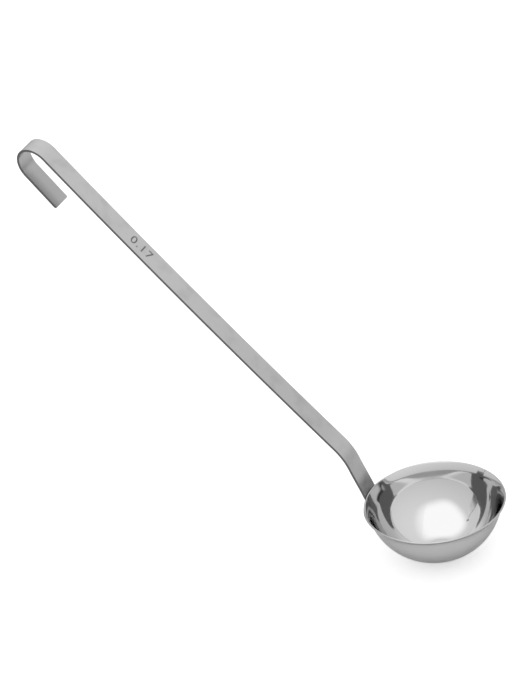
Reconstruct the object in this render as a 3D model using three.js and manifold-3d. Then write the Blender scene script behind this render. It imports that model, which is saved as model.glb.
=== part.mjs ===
// Soup ladle in stainless steel: a drawn bowl with a turned-out pouring lip, and a flat strip handle
// that is spot-welded to the outside of the bowl, rises past the lip, bends back and ends in a hook.
// Millimetres, +Z up along the bowl's axis. The origin is the middle of the bowl's flat underside,
// the handle leaves the bowl towards -X, and the ladle is symmetric about the XZ plane.

import * as THREE from "three";
import { mergeVertices } from "three/addons/utils/BufferGeometryUtils.js";
import Module from "manifold-3d";

const wasm = await Module();
wasm.setup();

const degree = Math.PI / 180;

// Driving dimensions of the bowl
const lipRadius = 50; // outside of the sheet at the edge of the pouring lip
const bowlDepth = 39.5; // from that edge down to the flat underside
const bowlSheet = 1.2; // thickness of the drawn sheet
const lipDrop = 5; // height over which the wall turns out into the lip
const wallRadius = 47; // outside radius of the wall where the lip begins
const wallLean = 20 * degree; // lean of the wall from upright there
const sideRadius = 45.5; // outside radius of the bowl in section, below the wall
const flatRadius = 10; // where the side would meet the flat underside with no rounding
const flatRound = 30; // radius of the rounding between the side and the flat
const edgeRoundShare = 0.25; // rounding of the lip's edge, as a share of the sheet

// Driving dimensions of the ear, where the lip is pressed upright for the handle
const earRise = 1.4; // rise of the sheet's edge above the lip
const riseHold = 8 * degree; // the full rise reaches this far on either side of the handle
const riseFade = 34 * degree; // and ends here
const earHold = 12 * degree; // the lip is fully upright to this far on either side of the handle
const earFade = 36 * degree; // and turned fully out from here on

// Driving dimensions of the handle
const stripWidth = 16.5;
const stripSheet = 1.8;
const stripRound = 0.4; // rounding of the strip's long edges
const tabLength = 19; // length welded to the wall, below where the lip begins
const tabCorner = 6; // corner radius at the end of the welded tab
const neckLength = 24.8; // straight neck above the lip's plane
const neckRadius = 45; // radius of the neck's bend, on the front face
const runLength = 286; // from the neck's bend to the hook
const runLeanLow = 43.85 * degree; // lean of the run from upright, at its lower end
const runLeanHigh = 40.9 * degree; // and at its upper end, so the run bows a little
const curlHold = 3; // height above the lip's plane to which the neck keeps the wall's curl

// Driving dimensions of the hook
const hookRadius = 12; // half of the hook's width, on its outside
const hookReach = 15.2; // reach of its bend past the run, on the outside: a half ellipse
const hookTurn = 178.6 * degree;
const returnLength = 31; // straight return of the hook
const returnCorner = 1.6; // corner radius at its end

// Driving dimensions of the spot welds
const weldGap = 0.3; // gap between the wall and the tab
const nuggetRadius = 2.4;
const nuggetHalf = 0.5; // half of a nugget's thickness
const weldInset = 5; // upper weld, below where the lip begins
const weldPitch = 8.5; // from the upper weld to the lower one
const markRadius = 3; // shallow mark that the electrode leaves on the tab
const markDepth = 0.25;

// How finely the curved forms are divided
const bowlSegments = 96;
const sideSteps = 12;
const roundSteps = 3;
const lipSteps = 4;
const faceSteps = 6;
const cornerSteps = 2;
const endSteps = 5;
const tabSteps = 8;
const neckLowSteps = 2;
const neckSteps = 8;
const bendSteps = 10;
const runSteps = 10;
const hookSteps = 34;
const returnSteps = 3;
const lensSegments = 24;
const lensSteps = 6;

// The bowl in section. A point is a radius r and a height z, with the sheet's outward normal there.

const lipPlane = bowlDepth;
const shoulderHeight = lipPlane - lipDrop;

function sectionPoint(r, z, lean) {
  return { r, z, nr: Math.cos(lean), nz: -Math.sin(lean), lean };
}

// The side's arc touches the wall's line above, and below it touches the arc that rounds the flat.
function sideArc() {
  const r = wallRadius - sideRadius * Math.cos(wallLean);
  const z = shoulderHeight + sideRadius * Math.sin(wallLean);
  const along = (r - flatRadius) * Math.sin(wallLean) + z * Math.cos(wallLean);
  const spread = along ** 2 - (r - flatRadius) ** 2 - z ** 2 + sideRadius ** 2;
  const straight = along - Math.sqrt(spread);
  const centreR = r - straight * Math.sin(wallLean);
  const centreZ = z - straight * Math.cos(wallLean);
  const drop = centreZ - flatRound;
  const roundR = centreR + Math.sqrt((sideRadius - flatRound) ** 2 - drop ** 2);
  const lowLean = Math.atan2(drop, roundR - centreR);
  return { centreR, centreZ, straight, roundR, lowLean };
}
const side = sideArc();

// Outside of the wall at a distance down from where the lip begins.
function wallPoint(down) {
  if (down <= side.straight) {
    return sectionPoint(
      wallRadius - down * Math.sin(wallLean),
      shoulderHeight - down * Math.cos(wallLean),
      wallLean,
    );
  }
  const lean = wallLean + (down - side.straight) / sideRadius;
  return sectionPoint(
    side.centreR + sideRadius * Math.cos(lean),
    side.centreZ - sideRadius * Math.sin(lean),
    lean,
  );
}

// The outside of the bowl from the flat up to where the lip begins.
function lowerSection() {
  const length = side.straight + (side.lowLean - wallLean) * sideRadius;
  const points = [];
  for (let i = 0; i < roundSteps; i++) {
    const lean = THREE.MathUtils.lerp(Math.PI / 2, side.lowLean, i / roundSteps);
    const r = side.roundR + flatRound * Math.cos(lean);
    points.push(sectionPoint(r, flatRound * (1 - Math.sin(lean)), lean));
  }
  for (let i = 0; i <= sideSteps; i++) {
    points.push(wallPoint(THREE.MathUtils.lerp(length, side.straight, i / sideSteps)));
  }
  points.push(wallPoint(0));
  return points;
}

// The lip, turned out on an arc from the wall's line to the lip's edge.
function turnedLip() {
  const out = lipRadius - wallRadius;
  const half = Math.atan2(out, lipDrop) - wallLean;
  const radius = Math.hypot(out, lipDrop) / (2 * Math.sin(half));
  const points = [];
  for (let i = 1; i <= lipSteps; i++) {
    const lean = wallLean + (2 * half * i) / lipSteps;
    points.push(
      sectionPoint(
        wallRadius + radius * (Math.cos(wallLean) - Math.cos(lean)),
        shoulderHeight + radius * (Math.sin(lean) - Math.sin(wallLean)),
        lean,
      ),
    );
  }
  return points;
}

// The same length of sheet at the handle: it carries on in the wall's line, with a rise above the lip.
function uprightLip(rise) {
  const length = (lipDrop + rise) / Math.cos(wallLean);
  const points = [];
  for (let i = 1; i <= lipSteps; i++) {
    const up = (length * i) / lipSteps;
    points.push(
      sectionPoint(
        wallRadius + up * Math.sin(wallLean),
        shoulderHeight + up * Math.cos(wallLean),
        wallLean,
      ),
    );
  }
  return points;
}

// A closed section of the sheet: up the outside, over the rounded edge, down the inside.
function sheetSection(lip) {
  const outside = [...lowerSection(), ...lip];
  const edge = outside[outside.length - 1];
  const round = edgeRoundShare * bowlSheet;
  const over = [];
  const corner = (centre, start) => {
    for (let i = 0; i <= cornerSteps; i++) {
      const angle = start + (i * Math.PI) / 2 / cornerSteps;
      const across = centre + round * Math.sin(angle);
      const up = round * Math.cos(angle);
      over.push(
        new THREE.Vector2(
          edge.r - across * edge.nr - up * edge.nz,
          edge.z - across * edge.nz + up * edge.nr,
        ),
      );
    }
  };
  corner(round, -Math.PI / 2);
  corner(bowlSheet - round, 0);
  const inside = outside
    .slice(0, -1)
    .reverse()
    .map((p) => new THREE.Vector2(p.r - bowlSheet * p.nr, p.z - bowlSheet * p.nz));
  return [
    new THREE.Vector2(0, 0),
    ...outside.slice(0, -1).map((p) => new THREE.Vector2(p.r, p.z)),
    ...over,
    ...inside,
    new THREE.Vector2(0, bowlSheet),
  ];
}

// Solids

function toSolid(geometry) {
  const bare = geometry.clone();
  bare.deleteAttribute("normal");
  bare.deleteAttribute("uv");
  const merged = mergeVertices(bare);
  return new wasm.Manifold(
    new wasm.Mesh({
      numProp: 3,
      vertProperties: merged.attributes.position.array,
      triVerts: new Uint32Array(merged.index.array),
    }),
  );
}

function toGeometry(solid) {
  const mesh = solid.getMesh();
  return new THREE.BufferGeometry()
    .setAttribute("position", new THREE.BufferAttribute(mesh.vertProperties, 3))
    .setIndex(new THREE.BufferAttribute(mesh.triVerts, 1));
}

// The bowl is a lathe turned about Z whose section passes from the raised upright lip at the handle
// to the turned one.
function bowlShell() {
  const turned = sheetSection(turnedLip());
  const upright = sheetSection(uprightLip(0));
  const raised = sheetSection(uprightLip(earRise));
  const lathe = new THREE.LatheGeometry(turned, bowlSegments);
  const position = lathe.attributes.position;
  for (let i = 0; i < position.count; i++) {
    const segment = Math.floor(i / turned.length);
    const fromHandle = (segment / bowlSegments) * 2 * Math.PI - Math.PI;
    const flare = THREE.MathUtils.smoothstep(Math.abs(fromHandle), earHold, earFade);
    const rise = 1 - THREE.MathUtils.smoothstep(Math.abs(fromHandle), riseHold, riseFade);
    const k = i % turned.length;
    const lift = raised[k].clone().sub(upright[k]).multiplyScalar(rise);
    const point = upright[k].clone().lerp(turned[k], flare).add(lift);
    position.setXYZ(
      i,
      -point.x * Math.cos(fromHandle),
      -point.x * Math.sin(fromHandle),
      point.y,
    );
  }
  return toSolid(lathe);
}

// Radius of the hook's outside at a share of its turn.
function hookRadiusAt(share) {
  const across = hookReach * Math.sin(share * Math.PI);
  const along = hookRadius * Math.cos(share * Math.PI);
  return (hookReach * hookRadius) ** 2 / Math.hypot(across, along) ** 3;
}

// Stations of the strip's front face in the XZ plane, from the end of the tab to the tip of the hook.
// Each has a place (x, z), the lean of the strip from upright, the curl from flat (0) to the wall's (1)
// and the half width there.
function stripStations() {
  const stations = [];
  const place = { x: 0, z: 0, lean: 0 };
  const half = stripWidth / 2;

  // Half width at a distance from an end with rounded corners.
  const rounded = (distance, corner) => {
    if (distance >= corner) return half;
    return half - corner + Math.sqrt(corner ** 2 - (corner - distance) ** 2);
  };
  const add = (curl, halfWidth) => stations.push({ ...place, curl, halfWidth });
  const advance = (length, turn) => {
    const lean = place.lean + turn / 2;
    place.x -= length * Math.sin(lean);
    place.z += length * Math.cos(lean);
    place.lean += turn;
  };
  const sweep = (length, turn, steps, curlAt) => {
    const chord = turn ? (length * Math.sin(turn / steps / 2)) / (turn / 2) : length / steps;
    for (let i = 1; i <= steps; i++) {
      advance(chord, turn / steps);
      add(curlAt(i / steps), half);
    }
  };
  const flat = () => 0;

  // The tab lies along the outside of the wall.
  const along = (down) => {
    const wall = wallPoint(down);
    place.x = -(wall.r + weldGap * wall.nr);
    place.z = wall.z + weldGap * wall.nz;
    place.lean = wall.lean;
    add(1, rounded(tabLength - down, tabCorner));
  };
  for (let i = 0; i < endSteps; i++) {
    along(tabLength - tabCorner * (1 - Math.cos(((i / endSteps) * Math.PI) / 2)));
  }
  for (let i = 0; i <= tabSteps; i++) {
    along((tabLength - tabCorner) * (1 - i / tabSteps));
  }

  // The neck carries on in the wall's line and loses its curl above the lip.
  const toLip = lipDrop / Math.cos(wallLean);
  sweep(toLip + curlHold, 0, neckLowSteps, () => 1);
  sweep(neckLength - curlHold, 0, neckSteps, (share) => 1 - THREE.MathUtils.smoothstep(share, 0, 1));
  const neckTurn = runLeanLow - wallLean;
  sweep(neckRadius * neckTurn, neckTurn, bendSteps, flat);
  sweep(runLength, runLeanHigh - runLeanLow, runSteps, flat);
  for (let i = 0; i < hookSteps; i++) {
    const turn = hookTurn / hookSteps;
    advance(2 * hookRadiusAt((i + 1 / 2) / hookSteps) * Math.sin(turn / 2), turn);
    add(0, half);
  }
  sweep(returnLength - returnCorner, 0, returnSteps, flat);
  for (let i = 1; i <= endSteps; i++) {
    const before = Math.sin((((i - 1) / endSteps) * Math.PI) / 2);
    const after = Math.sin(((i / endSteps) * Math.PI) / 2);
    advance(returnCorner * (after - before), 0);
    add(0, rounded(returnCorner * (1 - after), returnCorner));
  }
  return stations;
}

// Section of the strip as pairs: across, from -halfWidth to halfWidth, and depth behind the front face.
// The first half of the ring is the front face, and each point has its match on the back face.
function stripRing(halfWidth) {
  const front = [];
  const inner = halfWidth - stripRound;
  for (let i = 0; i <= cornerSteps; i++) {
    const angle = (i * Math.PI) / 2 / cornerSteps;
    front.push([-inner - stripRound * Math.cos(angle), stripRound * (1 - Math.sin(angle))]);
  }
  for (let i = 1; i < faceSteps; i++) {
    front.push([inner * ((2 * i) / faceSteps - 1), 0]);
  }
  for (let i = 0; i <= cornerSteps; i++) {
    const angle = (i * Math.PI) / 2 / cornerSteps;
    front.push([inner + stripRound * Math.sin(angle), stripRound * (1 - Math.cos(angle))]);
  }
  const back = front.map(([across, depth]) => [across, stripSheet - depth]).reverse();
  return [...front, ...back];
}

function ringPoint(station, [across, depth]) {
  const x = station.x - depth * Math.cos(station.lean);
  const z = station.z - depth * Math.sin(station.lean);
  const turn = across / x;
  return [
    THREE.MathUtils.lerp(x, x * Math.cos(turn), station.curl),
    THREE.MathUtils.lerp(across, x * Math.sin(turn), station.curl),
    z,
  ];
}

function handleStrip() {
  const stations = stripStations();
  const rings = stations.map((station) => stripRing(station.halfWidth));
  const size = rings[0].length;
  const points = stations.flatMap((station, i) =>
    rings[i].flatMap((pair) => ringPoint(station, pair)),
  );
  const faces = [];
  const quad = (a, b, c, d) => faces.push(a, b, c, a, c, d);
  for (let i = 0; i + 1 < stations.length; i++) {
    for (let j = 0; j < size; j++) {
      const next = (j + 1) % size;
      quad(i * size + j, i * size + next, (i + 1) * size + next, (i + 1) * size + j);
    }
  }
  const last = (stations.length - 1) * size;
  for (let j = 0; j + 1 < size / 2; j++) {
    const match = size - 1 - j;
    quad(j, match, match - 1, j + 1);
    quad(last + j, last + j + 1, last + match - 1, last + match);
  }
  const geometry = new THREE.BufferGeometry()
    .setAttribute("position", new THREE.Float32BufferAttribute(points, 3))
    .setIndex(faces);
  return toSolid(geometry);
}

// A lens with its axis along the wall's normal, centred at a distance out from the wall.
function lens(radius, half, down, out) {
  const outline = [];
  for (let i = 0; i <= lensSteps; i++) {
    const angle = ((i / lensSteps) * 2 - 1) * (Math.PI / 2);
    outline.push(new THREE.Vector2(Math.abs(radius * Math.cos(angle)), half * Math.sin(angle)));
  }
  outline[0].x = 0;
  outline[lensSteps].x = 0;
  const wall = wallPoint(down);
  const geometry = new THREE.LatheGeometry(outline, lensSegments);
  geometry.rotateX(Math.PI / 2);
  geometry.rotateY(-Math.PI / 2 - wall.lean);
  geometry.translate(-(wall.r + out * wall.nr), 0, wall.z + out * wall.nz);
  return toSolid(geometry);
}

const ladle = new THREE.Group();

function addPiece(name, solid, material) {
  const piece = new THREE.Mesh(toGeometry(solid), material);
  piece.name = name;
  ladle.add(piece);
}

const mirrorSteel = new THREE.MeshStandardMaterial({ color: "#d9dadb", metalness: 1, roughness: 0.08 });
const satinSteel = new THREE.MeshStandardMaterial({ color: "#c9cacb", metalness: 1, roughness: 0.38 });
const weldSteel = new THREE.MeshStandardMaterial({ color: "#a8a9aa", metalness: 1, roughness: 0.6 });

let bowl = bowlShell();
let handle = handleStrip();
const welds = { weld_nugget_upper: weldInset, weld_nugget_lower: weldInset + weldPitch };
for (const [name, down] of Object.entries(welds)) {
  const pocket = lens(nuggetRadius + weldGap, nuggetHalf + weldGap, down, weldGap / 2);
  bowl = bowl.subtract(pocket);
  handle = handle
    .subtract(pocket)
    .subtract(lens(markRadius, markDepth, down, weldGap + stripSheet));
  addPiece(name, lens(nuggetRadius, nuggetHalf, down, weldGap / 2), weldSteel);
}
addPiece("bowl", bowl, mirrorSteel);
addPiece("handle", handle, satinSteel);

export default ladle;
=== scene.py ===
"""Looks of a stainless-steel soup ladle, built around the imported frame.

A drawn bowl with a turned-out pouring lip hangs on a flat strip handle that is spot-welded to it.
Everything is in metres, +Z up along the bowl's axis, the handle towards -X.
"""

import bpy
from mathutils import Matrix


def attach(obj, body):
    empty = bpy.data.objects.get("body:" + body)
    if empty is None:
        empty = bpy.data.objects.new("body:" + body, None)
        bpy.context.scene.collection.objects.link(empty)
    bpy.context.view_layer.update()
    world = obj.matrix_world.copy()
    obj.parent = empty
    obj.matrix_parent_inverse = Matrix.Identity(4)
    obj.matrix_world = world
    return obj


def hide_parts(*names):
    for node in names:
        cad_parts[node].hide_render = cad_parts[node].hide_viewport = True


bl_info = {
    "name": "Soup Ladle",
    "version": (1, 0, 0),
    "blender": (4, 5, 0),
    "location": "View3D > Sidebar > Ladle",
    "description": "A drawn steel bowl with a turned-out lip on a spot-welded strip handle with a hook",
    "category": "Object",
}

import math

import bpy
import numpy as np
from bpy.props import FloatProperty, FloatVectorProperty, IntProperty, PointerProperty, StringProperty
from mathutils import Matrix, Vector

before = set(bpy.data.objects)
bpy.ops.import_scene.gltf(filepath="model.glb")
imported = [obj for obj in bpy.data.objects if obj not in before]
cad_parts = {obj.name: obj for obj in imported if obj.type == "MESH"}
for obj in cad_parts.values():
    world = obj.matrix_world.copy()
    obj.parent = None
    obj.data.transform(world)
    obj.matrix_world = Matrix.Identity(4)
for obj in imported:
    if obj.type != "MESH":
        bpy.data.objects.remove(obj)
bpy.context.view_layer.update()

MM = 0.001
ROOT = "root"
WELDS = ("weld_nugget_upper", "weld_nugget_lower")
WHITE = 1.0


def linear(hex_colour):
    """A colour written as sRGB hex, in the linear values that shaders take."""
    channels = [int(hex_colour[i : i + 2], 16) / 255 for i in (1, 3, 5)]
    return tuple(c / 12.92 if c <= 0.04045 else ((c + 0.055) / 1.055) ** 2.4 for c in channels)


def add_node(tree, kind, links=None, **settings):
    """Adds a node. Settings are its own values, and links give each input a socket or a value."""
    node = tree.nodes.new(kind)
    for name, value in settings.items():
        setattr(node, name, value)
    for key, source in (links or {}).items():
        if isinstance(source, bpy.types.NodeSocket):
            tree.links.new(source, node.inputs[key])
        else:
            node.inputs[key].default_value = source
    return node


def calc(tree, operation, *values):
    """The result of a Math node."""
    return add_node(tree, "ShaderNodeMath", dict(enumerate(values)), operation=operation).outputs[0]


def fade(tree, value, start, end, low=0.0, high=1.0):
    """Passes smoothly from low to high while the value goes from start to end."""
    links = {"Value": value, "From Min": start, "From Max": end, "To Min": low, "To Max": high}
    node = add_node(tree, "ShaderNodeMapRange", links, interpolation_type="SMOOTHSTEP")
    return node.outputs["Result"]


# Sizes and colours that a user would change


class LadleBowlSettings(bpy.types.PropertyGroup):
    lip_radius: FloatProperty(
        name="Lip radius",
        description="Outside of the sheet at the edge of the pouring lip",
        default=50.0 * MM,
        unit="LENGTH",
    )
    depth: FloatProperty(
        name="Depth",
        description="From the lip's edge down to the flat underside",
        default=39.5 * MM,
        unit="LENGTH",
    )
    sheet: FloatProperty(
        name="Sheet", description="Thickness of the drawn sheet", default=1.2 * MM, unit="LENGTH"
    )
    lip_drop: FloatProperty(
        name="Lip height",
        description="Height over which the wall turns out into the lip",
        default=5.0 * MM,
        unit="LENGTH",
    )
    wall_radius: FloatProperty(
        name="Wall radius",
        description="Outside radius of the wall where the lip begins",
        default=47.0 * MM,
        unit="LENGTH",
    )
    wall_lean: FloatProperty(
        name="Wall lean",
        description="Lean of the wall from upright there",
        default=math.radians(20),
        unit="ROTATION",
    )
    side_radius: FloatProperty(
        name="Side radius",
        description="Outside radius of the bowl in section, below the wall",
        default=45.5 * MM,
        unit="LENGTH",
    )
    flat_radius: FloatProperty(
        name="Flat radius",
        description="Where the side would meet the flat underside with no rounding",
        default=10.0 * MM,
        unit="LENGTH",
    )
    flat_round: FloatProperty(
        name="Flat rounding",
        description="Radius of the rounding between the side and the flat underside",
        default=30.0 * MM,
        unit="LENGTH",
    )
    ear_rise: FloatProperty(
        name="Ear rise",
        description="Rise of the sheet's edge above the lip at the handle",
        default=1.4 * MM,
        unit="LENGTH",
    )
    rise_hold: FloatProperty(
        name="Rise hold",
        description="The full rise reaches this far on either side of the handle",
        default=math.radians(8),
        unit="ROTATION",
    )
    rise_fade: FloatProperty(
        name="Rise fade",
        description="The rise ends here",
        default=math.radians(34),
        unit="ROTATION",
    )
    ear_hold: FloatProperty(
        name="Ear hold",
        description="The lip is upright to this far on either side of the handle",
        default=math.radians(12),
        unit="ROTATION",
    )
    ear_fade: FloatProperty(
        name="Ear fade",
        description="The lip is fully turned out from here on",
        default=math.radians(36),
        unit="ROTATION",
    )
    segments: IntProperty(name="Segments", description="Divisions around the bowl", default=384)


class LadleHandleSettings(bpy.types.PropertyGroup):
    width: FloatProperty(
        name="Width", description="Width of the strip", default=16.5 * MM, unit="LENGTH"
    )
    sheet: FloatProperty(
        name="Thickness", description="Thickness of the strip", default=1.8 * MM, unit="LENGTH"
    )
    edge_round: FloatProperty(
        name="Edge rounding",
        description="Rounding of the strip's long edges",
        default=0.4 * MM,
        unit="LENGTH",
    )
    tab_length: FloatProperty(
        name="Tab length",
        description="Length welded to the wall, below where the lip begins",
        default=19.0 * MM,
        unit="LENGTH",
    )
    tab_corner: FloatProperty(
        name="Tab corner",
        description="Corner radius at the end of the welded tab",
        default=6.0 * MM,
        unit="LENGTH",
    )
    neck_length: FloatProperty(
        name="Neck length",
        description="Straight neck above the lip's plane",
        default=24.8 * MM,
        unit="LENGTH",
    )
    neck_radius: FloatProperty(
        name="Neck radius", description="Radius of the neck's bend", default=45.0 * MM, unit="LENGTH"
    )
    run_length: FloatProperty(
        name="Run length",
        description="From the neck's bend to the hook",
        default=286.0 * MM,
        unit="LENGTH",
    )
    lean_low: FloatProperty(
        name="Lower lean",
        description="Lean of the run from upright at its lower end",
        default=math.radians(43.85),
        unit="ROTATION",
    )
    lean_high: FloatProperty(
        name="Upper lean",
        description="Lean of the run from upright at its upper end",
        default=math.radians(40.9),
        unit="ROTATION",
    )
    curl_hold: FloatProperty(
        name="Curl hold",
        description="Height above the lip to which the neck keeps the wall's curl",
        default=3.0 * MM,
        unit="LENGTH",
    )
    hook_radius: FloatProperty(
        name="Hook radius",
        description="Half of the hook's width, on its outside",
        default=12.0 * MM,
        unit="LENGTH",
    )
    hook_reach: FloatProperty(
        name="Hook reach",
        description="Reach of the hook's bend past the run, on its outside",
        default=15.2 * MM,
        unit="LENGTH",
    )
    hook_turn: FloatProperty(
        name="Hook turn",
        description="Angle of the hook",
        default=math.radians(178.6),
        unit="ROTATION",
    )
    return_length: FloatProperty(
        name="Return", description="Straight return of the hook", default=31.0 * MM, unit="LENGTH"
    )
    return_corner: FloatProperty(
        name="Return corner",
        description="Corner radius at the end of the return",
        default=1.6 * MM,
        unit="LENGTH",
    )


class LadleWeldSettings(bpy.types.PropertyGroup):
    gap: FloatProperty(
        name="Gap", description="Gap between the wall and the tab", default=0.3 * MM, unit="LENGTH"
    )
    inset: FloatProperty(
        name="Inset",
        description="Upper weld, below where the lip begins",
        default=5.0 * MM,
        unit="LENGTH",
    )
    pitch: FloatProperty(
        name="Pitch", description="From the upper weld to the lower one", default=8.5 * MM, unit="LENGTH"
    )
    mark_radius: FloatProperty(
        name="Mark radius", description="Radius of the electrode's mark", default=3.0 * MM, unit="LENGTH"
    )
    mark_depth: FloatProperty(
        name="Mark depth", description="Depth of the electrode's mark", default=0.25 * MM, unit="LENGTH"
    )


class LadleNumberSettings(bpy.types.PropertyGroup):
    text: StringProperty(
        name="Number", description="Plain capacity number in litres", default="0.17"
    )
    height: FloatProperty(
        name="Height", description="Height of the numerals", default=7.2 * MM, unit="LENGTH"
    )
    below_hook: FloatProperty(
        name="Below the hook",
        description="Middle of the number, measured down the handle from the hook",
        default=91.0 * MM,
        unit="LENGTH",
    )


class LadleFinishSettings(bpy.types.PropertyGroup):
    polished: FloatVectorProperty(
        name="Polished steel",
        description="Colour of the polished bowl",
        subtype="COLOR",
        default=linear("#c8c8c8"),
        min=0,
        max=1,
    )
    trimmed: FloatVectorProperty(
        name="Trimmed edge",
        description="Colour of the trimmed edge of the bowl's lip",
        subtype="COLOR",
        default=linear("#b0b0b0"),
        min=0,
        max=1,
    )
    satin: FloatVectorProperty(
        name="Satin steel",
        description="Colour of the satin strip",
        subtype="COLOR",
        default=linear("#bababa"),
        min=0,
        max=1,
    )
    # Darker colour for painted shade on the tab and neck, across the return and along the lower run, and
    # for random mottled patches.
    shade_and_mottle: FloatVectorProperty(
        name="Dull steel",
        description="Colour of the strip where it isn't ground: at the welds and on the return",
        subtype="COLOR",
        default=linear("#848484"),
        min=0,
        max=1,
    )
    slit: FloatVectorProperty(
        name="Slit edge",
        description="Colour of the strip's slit long edges",
        subtype="COLOR",
        default=linear("#6a6a6a"),
        min=0,
        max=1,
    )
    fused: FloatVectorProperty(
        name="Fused steel",
        description="Colour of the spot welds",
        subtype="COLOR",
        default=linear("#8d8a86"),
        min=0,
        max=1,
    )
    # Painted shade: the number's dark colour stands in for the shade in its grooves.
    number_shade: FloatVectorProperty(
        name="Etched steel",
        description="Colour of the etched number",
        subtype="COLOR",
        default=linear("#6f6f6e"),
        min=0,
        max=1,
    )


SETTINGS = {
    "ladle_bowl": LadleBowlSettings,
    "ladle_handle": LadleHandleSettings,
    "ladle_weld": LadleWeldSettings,
    "ladle_number": LadleNumberSettings,
    "ladle_finish": LadleFinishSettings,
}


# The bowl in section: points of the outside as rows of radius, height and lean of the sheet

SIDE_STEPS = 44
ROUND_STEPS = 14
LIP_STEPS = 16
EDGE_STEPS = 5
EDGE_ROUND_SHARE = 0.25  # rounding of the lip's edge, as a share of the sheet


def side_arc(bowl):
    """Centre of the side's arc, the straight wall above it and the centre of the rounding below."""
    flat = bowl.flat_radius
    r = bowl.wall_radius - bowl.side_radius * math.cos(bowl.wall_lean)
    z = bowl.depth - bowl.lip_drop + bowl.side_radius * math.sin(bowl.wall_lean)
    along = (r - flat) * math.sin(bowl.wall_lean) + z * math.cos(bowl.wall_lean)
    straight = along - math.sqrt(along**2 - (r - flat) ** 2 - z**2 + bowl.side_radius**2)
    centre = Vector((r - straight * math.sin(bowl.wall_lean), z - straight * math.cos(bowl.wall_lean)))
    drop = centre.y - bowl.flat_round
    round_r = centre.x + math.sqrt((bowl.side_radius - bowl.flat_round) ** 2 - drop**2)
    low_lean = math.atan2(drop, round_r - centre.x)
    return centre, straight, round_r, low_lean


def wall_point(bowl, down):
    """Outside of the wall at a distance down from where the lip begins."""
    centre, straight, _, _ = side_arc(bowl)
    if down <= straight:
        return (
            bowl.wall_radius - down * math.sin(bowl.wall_lean),
            bowl.depth - bowl.lip_drop - down * math.cos(bowl.wall_lean),
            bowl.wall_lean,
        )
    lean = bowl.wall_lean + (down - straight) / bowl.side_radius
    return (
        centre.x + bowl.side_radius * math.cos(lean),
        centre.y - bowl.side_radius * math.sin(lean),
        lean,
    )


def lower_section(bowl):
    """The outside from the flat up to where the lip begins."""
    _, straight, round_r, low_lean = side_arc(bowl)
    points = []
    for lean in np.linspace(math.pi / 2, low_lean, ROUND_STEPS, endpoint=False):
        r = round_r + bowl.flat_round * math.cos(lean)
        points.append((r, bowl.flat_round * (1 - math.sin(lean)), lean))
    length = straight + (low_lean - bowl.wall_lean) * bowl.side_radius
    for down in np.linspace(length, 0, SIDE_STEPS):
        points.append(wall_point(bowl, down))
    return points


def turned_lip(bowl):
    """The lip, turned out on an arc from the wall's line to its edge."""
    out = bowl.lip_radius - bowl.wall_radius
    half = math.atan2(out, bowl.lip_drop) - bowl.wall_lean
    radius = math.hypot(out, bowl.lip_drop) / (2 * math.sin(half))
    points = []
    for lean in np.linspace(bowl.wall_lean, bowl.wall_lean + 2 * half, LIP_STEPS + 1)[1:]:
        r = bowl.wall_radius + radius * (math.cos(bowl.wall_lean) - math.cos(lean))
        z = bowl.depth - bowl.lip_drop + radius * (math.sin(lean) - math.sin(bowl.wall_lean))
        points.append((r, z, lean))
    return points


def upright_lip(bowl, rise=0.0):
    """The same length of sheet at the handle, in the wall's line, with a rise above the lip."""
    points = []
    for up in np.linspace(0, bowl.lip_drop + rise, LIP_STEPS + 1)[1:]:
        r = bowl.wall_radius + up * math.tan(bowl.wall_lean)
        points.append((r, bowl.depth - bowl.lip_drop + up, bowl.wall_lean))
    return points


def sheet_section(bowl, lip):
    """The sheet's section from the underside's middle, over the lip's edge, to the inside's middle."""
    outside = lower_section(bowl) + lip
    r, z, lean = outside[-1]
    normal = np.array((math.cos(lean), -math.sin(lean)))
    along = np.array((math.sin(lean), math.cos(lean)))
    edge_round = EDGE_ROUND_SHARE * bowl.sheet
    over = []
    for centre, start in ((edge_round, -math.pi / 2), (bowl.sheet - edge_round, 0)):
        for angle in np.linspace(start, start + math.pi / 2, EDGE_STEPS):
            across = centre + edge_round * math.sin(angle)
            over.append((r, z) - across * normal + edge_round * math.cos(angle) * along)
    rows = np.array(outside[:-1])
    inward = np.stack((-np.cos(rows[:, 2]), np.sin(rows[:, 2])), 1) * bowl.sheet
    inside = (rows[:, :2] + inward)[::-1]
    return np.vstack(((0, 0), rows[:, :2], over, inside, (0, bowl.sheet)))


# The strip's front face in the XZ plane, as a turtle that walks from the tab's end to the hook's tip

TAB_STEP = 0.5 * MM
BEND_STEP = 0.8 * MM
RUN_STEP = 4.0 * MM
END_STEPS = 14
HOOK_STEPS = 112


def hook_radius_at(handle, share):
    """Radius of the hook's outside at a share of its turn: the hook is half an ellipse."""
    across = handle.hook_reach * math.sin(share * math.pi)
    along = handle.hook_radius * math.cos(share * math.pi)
    return (handle.hook_reach * handle.hook_radius) ** 2 / math.hypot(across, along) ** 3


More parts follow.
